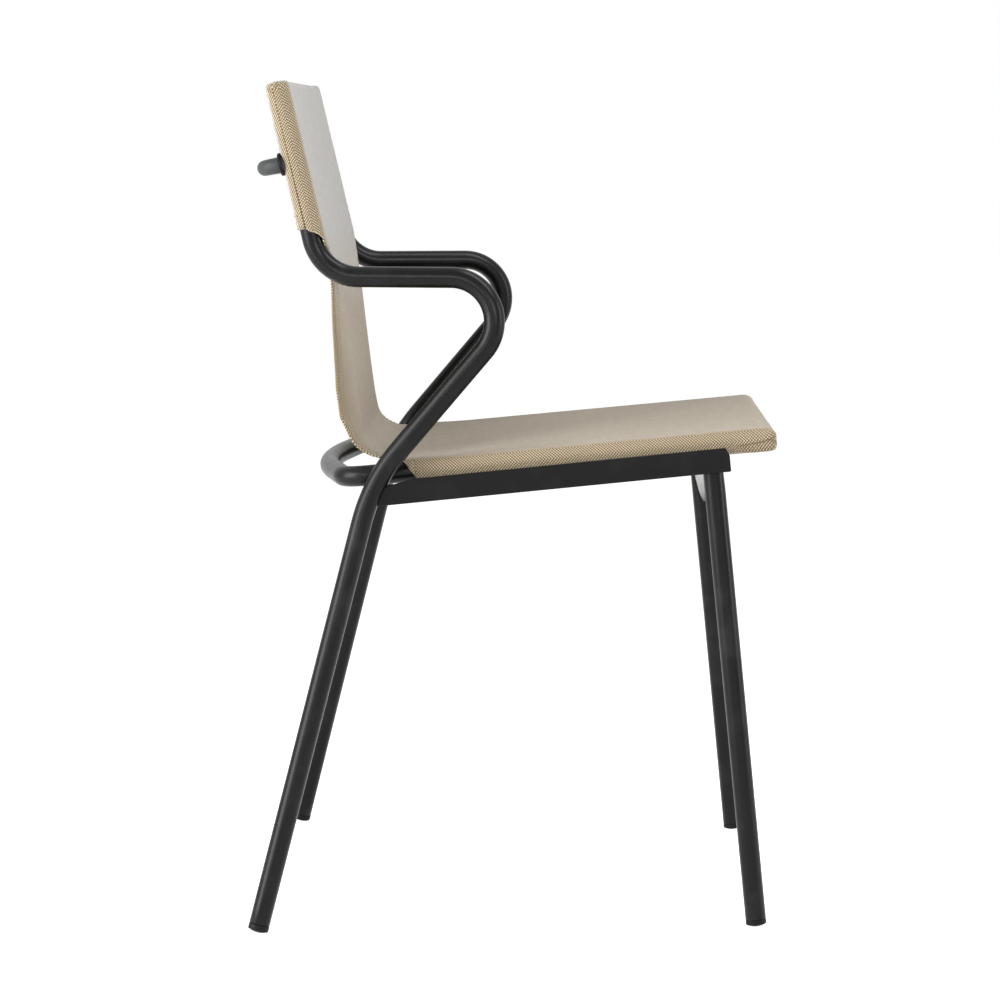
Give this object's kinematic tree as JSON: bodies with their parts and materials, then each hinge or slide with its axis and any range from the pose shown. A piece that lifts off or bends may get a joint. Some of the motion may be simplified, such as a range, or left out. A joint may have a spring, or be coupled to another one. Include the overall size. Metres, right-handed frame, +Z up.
{
  "type": "sling patio armchair",
  "caption": "Stackable patio armchair: bent tube sides that run from back to arm to rear leg, a seat hoop on flat rails, straight front legs and a stretched cloth sling.",
  "frame": {"origin": "on the ground under the middle of the chair's overall box", "axes": "+Z up, the chair faces -Y, +X is the sitter's left, symmetry plane X = 0"},
  "size_m": [0.5626, 0.505, 0.8097],
  "materials": {
    "tube": "satin black powder coat",
    "rail": "satin black powder coat",
    "plastic": "matt black",
    "cloth": "woven beige sling cloth, fine brown and cream weave"
  },
  "bodies": {
    "root": {"side_tube_right": "tube", "front_leg_right": "tube", "upright_plug_right": "plastic", "rear_foot_cap_right": "plastic", "front_foot_cap_right": "plastic", "seat_rail_right": "rail", "seat_plug_right": "plastic", "spreader_collar_right": "plastic", "seat_sleeve_right": "cloth", "side_tube_left": "tube", "front_leg_left": "tube", "upright_plug_left": "plastic", "rear_foot_cap_left": "plastic", "front_foot_cap_left": "plastic", "seat_rail_left": "rail", "seat_plug_left": "plastic", "spreader_collar_left": "plastic", "seat_sleeve_left": "cloth", "seat_hoop": "tube", "seat_front_tube": "tube", "back_spreader": "tube", "sling_sheet": "cloth", "sling_back_panel": "cloth", "sling_front_pocket": "cloth"}
  },
  "joints": []
}
